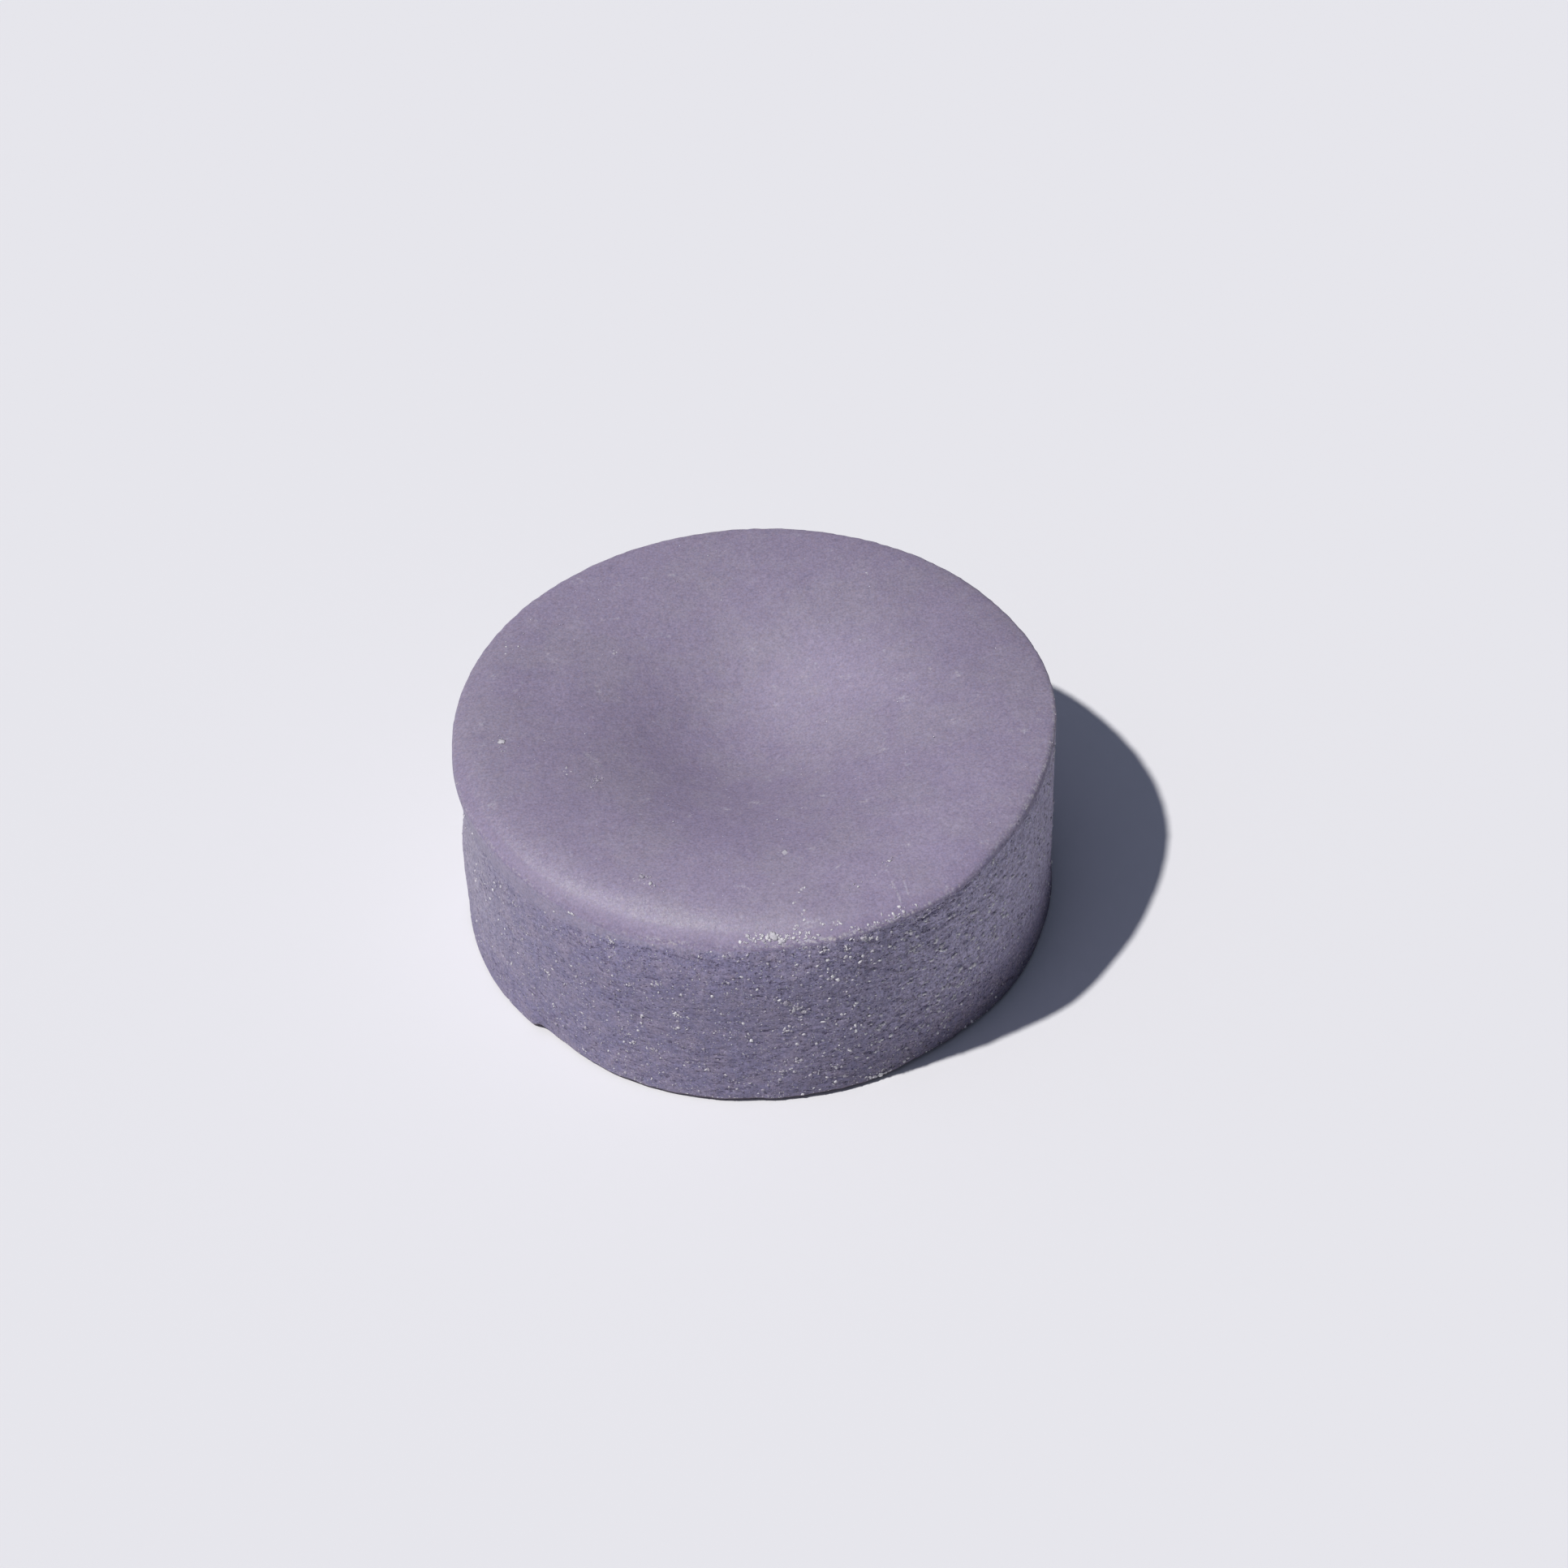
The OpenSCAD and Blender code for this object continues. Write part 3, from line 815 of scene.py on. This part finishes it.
crumbs = {
    # for each CAD node: the smallest and largest share of a crumb's own width that it's shown with,
    # how flat it is, the grains round it, their reach and widths, how pale they all are, and
    # further patches of grains as bearing, distance from the axis, number, reach
    "rim_crumbs": {
        "smallest": 0.45, "largest": 0.95, "flatness": 0.28,
        "around": 5, "reach": 0.40, "widths": (0.09, 0.44), "pale": (0.30, 0.82),
        "patches": [
            (-89.5, 28.0, 22, 0.45), (-87.6, 28.3, 20, 0.50), (-84.6, 28.3, 11, 0.50),
            (-92.6, 28.2, 8, 0.35), (-81.0, 23.3, 6, 0.35), (-83.8, 25.0, 9, 0.50), (-82.1, 26.4, 8, 0.40),
            (-82.9, 27.5, 6, 0.40), (-81.6, 28.7, 5, 0.35), (-77.6, 28.0, 5, 0.40), (-75.6, 28.3, 7, 0.35),
            (-73.3, 29.1, 7, 0.35), (-68.8, 29.3, 7, 0.40), (-65.9, 29.3, 8, 0.45), (-63.0, 29.3, 4, 0.40),
            (-60.0, 29.3, 2, 0.50),
        ],
        "thickest": -88.0, "spread": 3.4,   # the largest crumbs are near this bearing
    },
    "top_crumbs": {
        "smallest": 0.75, "largest": 0.95, "flatness": 0.16,
        "around": 6, "reach": 0.42, "widths": (0.08, 0.30), "pale": (0.18, 0.60),
        "patches": [
            (-160.0, 16.8, 16, 0.8), (-166.0, 19.2, 9, 0.5), (180.0, 25.0, 12, 0.7), (149.0, 28.0, 12, 0.8),
            (137.0, 18.6, 6, 0.6), (-62.0, 26.6, 10, 0.6), (-66.0, 24.4, 8, 0.8), (-120.0, 23.2, 10, 0.6),
            (60.0, 25.5, 8, 0.7), (128.0, 22.0, 7, 0.7),
        ],
    },
}


# A node's crumbs where the CAD has them, each with a share of its width there, larger by a bell about
# the thickest bearing if there is one. Finer grains are strewn round them and in patches.
def makeCrumbs(nodeName, pieceName, look, material, seed):
    rng = np.random.default_rng(seed)
    middles, widths = lumpsOf(nodeName)
    bearing = np.degrees(np.arctan2(middles[:, 1], middles[:, 0]))
    distance = np.hypot(middles[:, 0], middles[:, 1])
    widths = widths * rng.uniform(look["smallest"], look["largest"], len(middles))
    if "thickest" in look:
        widths *= 0.4 + 0.75 * np.exp(-((bearing - look["thickest"]) / look["spread"]) ** 2)
    big = np.stack([bearing, distance, widths], -1)
    small = [strew(rng, big, look["around"], look["reach"], look["widths"], 25.0)]
    for patchBearing, patchDistance, count, reach in look["patches"]:
        middle = np.array([[patchBearing, patchDistance]])
        small.append(strew(rng, middle, count, reach, look["widths"], 25.0))
    parts = []
    for lumps, splits, flatness in ((big, 2, look["flatness"]), (np.concatenate(small), 1, 0.36)):
        place, facing = onTop(lumps[:, 0], lumps[:, 1])
        parts.append(paleLumps(rng, place, facing, lumps[:, 2], splits, lumpRagged, flatness,
                               seed + splits, look["pale"]))
    addLumps(pieceName, parts, material, [nodeName])


flecks = {
    "count": 7000, "widths": (0.08, 0.46), "pale": (0.10, 0.72),
    "crumblyPale": 0.15,     # added to that where the wall is crumbly
    # single lumps on the wall: bearing, height, width
    "lumps": [
        (-86.8, 14.1, 1.1), (-86.0, 13.7, 0.7), (-85.6, 13.0, 1.0), (-83.7, 12.5, 0.8), (-84.6, 13.1, 0.6),
        (-87.2, 10.0, 0.7), (-77.9, 16.7, 0.5), (-71.6, 20.6, 0.8), (-70.4, 20.3, 0.5), (-61.6, 16.3, 0.8),
        (-61.0, 15.9, 0.6), (-60.2, 16.6, 0.4), (-41.2, 10.6, 0.6), (-69.5, 7.4, 0.8), (-68.6, 7.8, 0.5),
        (-121, 19.2, 0.8), (-120.3, 18.9, 0.5), (-116.3, 14.8, 0.4), (-110.7, 15.7, 0.7),
        (-107.6, 12.1, 0.7), (-106.9, 11.9, 0.4), (-137, 10.3, 0.4), (-129.7, 20.6, 0.5), (-50.7, 14.8, 0.5),
        (-46.4, 16.4, 0.7), (-48.1, 16.2, 0.5), (-55.0, 14.8, 0.6), (-117.5, 7.2, 0.4), (-116.7, 6.2, 0.5),
        (-112.7, 6.0, 0.5), (-102.5, 4.5, 0.5), (-88.3, 4.4, 0.6), (-76.6, 2.2, 0.6), (-62.0, 19.2, 0.5),
        (-58.5, 19.4, 0.5), (-52.0, 12.4, 0.5), (-75.0, 20.0, 0.6), (-64.0, 9.4, 0.6), (-47.0, 13.0, 0.4),
        (-55.0, 8.6, 0.5), (-13.0, 19.6, 0.7), (-11.5, 20.2, 0.5), (-9.0, 20.6, 0.7), (-15.0, 18.4, 0.5),
        (-7.0, 19.8, 0.5), (-69.4, 0.45, 0.8), (-70.6, 0.5, 0.6), (-68.2, 0.4, 0.6), (-71.5, 0.8, 0.4),
        (-69.0, 1.2, 0.5), (-79.0, 20.1, 0.5), (-82.7, 20.6, 0.5), (-64.5, 15.9, 0.4), (-40.5, 9.9, 0.6),
        (-47.0, 9.0, 0.7), (-50.3, 7.6, 0.5), (-62.8, 12.0, 0.5), (-56.0, 7.4, 0.6), (-52.5, 6.3, 0.5),
        (-64.0, 7.9, 0.5), (-69.4, 5.6, 0.5), (-74.1, 4.4, 0.5), (-78.2, 3.8, 0.5), (-82.1, 3.6, 0.5),
        (-85.0, 5.7, 0.4),
    ],
    # share of that width, and the grains round each: number, reach, widths
    "lumpSize": 0.78, "lumpGrains": 9, "lumpReach": 0.30, "lumpWidths": (0.10, 0.40),
    "footCount": 260, "footHeights": (0.35, 0.8), "footWidths": (0.08, 0.2),   # grains along the foot
    "edgeCount": 200, "edgeWidths": (0.06, 0.20),   # grains along the broken top edge
}


# Loose flecks at random bearings and heights, of mostly small widths. Fewer are on the worn band
# and at a frosted foot; more and wider ones are where the wall is crumbly.
def looseFlecks(rng, look):
    count = look["count"]
    bearing = rng.uniform(-180, 180, count)
    outline = puckOutline(puck, np.radians(bearing))
    edge = outline["edgeHeight"]
    height = 0.5 + (edge - 0.9) * rng.uniform(0, 1, count)
    width = between(*look["widths"], rng.uniform(0, 1, count) ** 2.1) * (0.82 + 0.38 * outline["crumble"])
    kept = (height < edge - outline["wornBand"]) | (rng.uniform(0, 1, count) < 0.2)
    nearFoot = outline["frost"] * (1 - ease(height, 2.0, 8.0))
    kept &= rng.uniform(0, 1, count) < (0.36 + 0.46 * outline["crumble"]) * (1 - 0.85 * nearFoot)
    return np.stack([bearing, height, width], -1)[kept]


# Grains along the top edge, in the share of places that the edge is pale there, on the middle of
# its corner and facing up and out.
def edgeGrains(rng, look):
    bearing = rng.uniform(-180, 180, look["edgeCount"])
    pale = puckOutline(puck, np.radians(bearing))["edgePale"]
    turn = np.radians(bearing[rng.uniform(0, 1, look["edgeCount"]) < pale])
    outline = puckOutline(puck, turn)
    corner = outline["corner"] * 0.27
    height = outline["edgeHeight"] - corner + rng.normal(0, 0.08, len(turn))
    place = polar(outline["edgeRadius"] - corner, turn, height)
    facing = unit(polar(1, turn, 0.8))
    width = rng.uniform(*look["edgeWidths"], len(turn))
    return paleLumps(rng, place, facing, width, 1, 0.3, 0.6, 64, look["pale"])


# All the dried soap on the wall: loose flecks, single lumps with grains round them, and grains
# along the foot and the top edge.
def makeFlecks(look, wallPoints, material):
    rng = np.random.default_rng(61)
    loose = looseFlecks(rng, look)
    lumps = np.array(look["lumps"])
    near = strew(rng, lumps, look["lumpGrains"], look["lumpReach"], look["lumpWidths"], puckRadius)
    lumps[:, 2] *= look["lumpSize"]
    foot = np.stack([rng.uniform(low, high, look["footCount"])
                     for low, high in ((-180, 180), look["footHeights"], look["footWidths"])], -1)
    parts = []
    for places, splits, flatness in ((np.concatenate([loose, near, foot]), 1, 0.5), (lumps, 2, 0.3)):
        place, facing = onWall(wallPoints, places[:, 0], np.clip(places[:, 1], 0.3, None))
        crumble = puckOutline(puck, np.radians(places[:, 0]))["crumble"]
        crumbly = ease(crumble, 0.5, 1.2) * look["crumblyPale"]
        pale = (look["pale"][0] + crumbly, look["pale"][1] + crumbly)
        parts.append(paleLumps(rng, place, facing, places[:, 2], splits, lumpRagged, flatness,
                               61 + splits, pale))
    parts.append(edgeGrains(rng, look))
    addLumps("wall_flecks", parts, material)


glints = {
    "count": 320, "widths": (0.07, 0.17),
    "reach": 28.5,     # how far from the axis
    "colour": rgb(0.92, 0.92, 0.94), "dim": rgb(0.55, 0.52, 0.62), "roughness": 0.3,
}


# Tiny pale crystals of dried soap spread evenly over the top, as distance by the root of chance. Their
# near-white colour, brighter on some, is partly painted glints.
def makeGlints(look):
    material, shader, start, place = newMaterial("soap_glint")
    bright = place.noise(0.9, 1).ease(0.42, 0.55)
    start.mixing(bright, look["dim"], look["colour"]).into(shader, "Base Color")
    (place.noise(2.0) * 0.3 + look["roughness"]).into(shader, "Roughness")
    rng = np.random.default_rng(71)
    distance = look["reach"] * np.sqrt(rng.uniform(0, 1, look["count"]))
    bearing = rng.uniform(-180, 180, look["count"])
    width = between(*look["widths"], rng.uniform(0, 1, look["count"]) ** 2)
    places, facings = onTop(bearing, distance)
    points, faces = scatterLumps(places, facings, width, 0, 0.15, 0.9, 72)
    addPiece("top_glints", points, faces.tolist(), material)


studio = {
    "floorSize": 6000, "floorColour": rgb(0.80, 0.795, 0.815), "floorRoughness": 0.9,
    "sunFrom": (-0.480, -0.162, 0.862), "sunStrength": 3.20, "sunWidth": 2.0,   # degrees across
    "sunColour": (1.0, 0.985, 0.965),
    "zenithColour": rgb(0.170, 0.194, 0.268), "horizonColour": rgb(0.018, 0.022, 0.037),
    "skyLean": (-0.38, -0.12, 0.92),   # the sky is brightest in this direction
    "backdropColour": rgb(0.79, 0.785, 0.825),
}


# A flat square floor that isn't part of the object.
def makeFloor(look):
    half = look["floorSize"] / 2 * mm
    mesh = bpy.data.meshes.new("floor")
    corners = [(-half, -half, 0), (half, -half, 0), (half, half, 0), (-half, half, 0)]
    mesh.from_pydata(corners, [], [(0, 1, 2, 3)])
    floor = bpy.data.objects.new("floor", mesh)
    bpy.context.scene.collection.objects.link(floor)
    material = bpy.data.materials.new("floor_pale")
    material.use_nodes = True
    shader = material.node_tree.nodes["Principled BSDF"]
    shader.inputs["Base Color"].default_value = look["floorColour"]
    shader.inputs["Roughness"].default_value = look["floorRoughness"]
    shader.inputs["Specular IOR Level"].default_value = 0.0
    mesh.materials.append(material)


# A soft-edged sun for the key light, and a sky for the fill: from the horizon's colour to the
# zenith's by the cosine from its brightest direction. The camera sees a plain backdrop instead.
def makeLight(look):
    lamp = bpy.data.lights.new("key", "SUN")
    lamp.energy = look["sunStrength"]
    lamp.angle = math.radians(look["sunWidth"])
    lamp.color = look["sunColour"]
    key = bpy.data.objects.new("key", lamp)
    key.rotation_mode = "QUATERNION"
    key.rotation_quaternion = Vector(look["sunFrom"]).to_track_quat("Z", "Y")
    key.location = Vector(look["sunFrom"])
    bpy.context.scene.collection.objects.link(key)

    world = bpy.data.worlds.new("studio")
    world.use_nodes = True
    bpy.context.scene.world = world
    start = Wire(world.node_tree)
    direction = start.node("ShaderNodeTexCoord", output="Generated")
    rise = start.node("ShaderNodeVectorMath", {"operation": "DOT_PRODUCT"},
                      {0: direction, 1: look["skyLean"]}, "Value")
    sky = start.mixing(rise.atLeast(0.0), look["horizonColour"], look["zenithColour"])
    seen = start.node("ShaderNodeLightPath", output="Is Camera Ray")
    sky.mixed(seen, look["backdropColour"]).into(world.node_tree.nodes["Background"], "Color")
    bpy.context.scene.view_settings.view_transform = "Standard"


view = {
    "lens": 100, "sensor": 36,
    "distance": 441.6, "elevation": 44.9, "roll": -3.52,
    "target": (0, 0, 11.1),
    "offset": (-0.01739, -0.01387),   # where the target shows, in frame widths right of and above the middle
    "clip": (0.01, 50),               # metres
}


# The camera stands at the distance and elevation on the -Y side, rolled, and turned a little so
# that the target shows off the middle by the offset.
def makeCamera(look):
    data = bpy.data.cameras.new("camera")
    data.lens = look["lens"]
    data.sensor_width = look["sensor"]
    data.clip_start, data.clip_end = look["clip"]
    camera = bpy.data.objects.new("camera", data)
    rise = math.radians(look["elevation"])
    back = Vector((0, -math.cos(rise), math.sin(rise)))
    camera.location = (Vector(look["target"]) + back * look["distance"]) * mm
    aim = Quaternion((1, 0, 0), math.pi / 2 - rise)
    roll = Quaternion((0, 0, 1), math.radians(look["roll"]))
    across, up = look["offset"]
    shown = Vector((across, up, -look["lens"] / look["sensor"])).normalized()
    turn = shown.rotation_difference(Vector((0, 0, -1)))
    camera.rotation_mode = "QUATERNION"
    camera.rotation_quaternion = aim @ roll @ turn
    bpy.context.scene.collection.objects.link(camera)
    bpy.context.scene.camera = camera


wallPoints = makePuck(puck, makeSoapMaterial(soapFinish))
driedMaterial = makeDriedMaterial(driedFinish)
makeCrumbs("rim_crumbs", "rim_crumb_cluster", crumbs["rim_crumbs"], driedMaterial, 51)
makeCrumbs("top_crumbs", "top_crumb_grains", crumbs["top_crumbs"], driedMaterial, 55)
makeFlecks(flecks, wallPoints, driedMaterial)
makeGlints(glints)
makeFloor(studio)
makeLight(studio)
makeCamera(view)
print("studio ready")
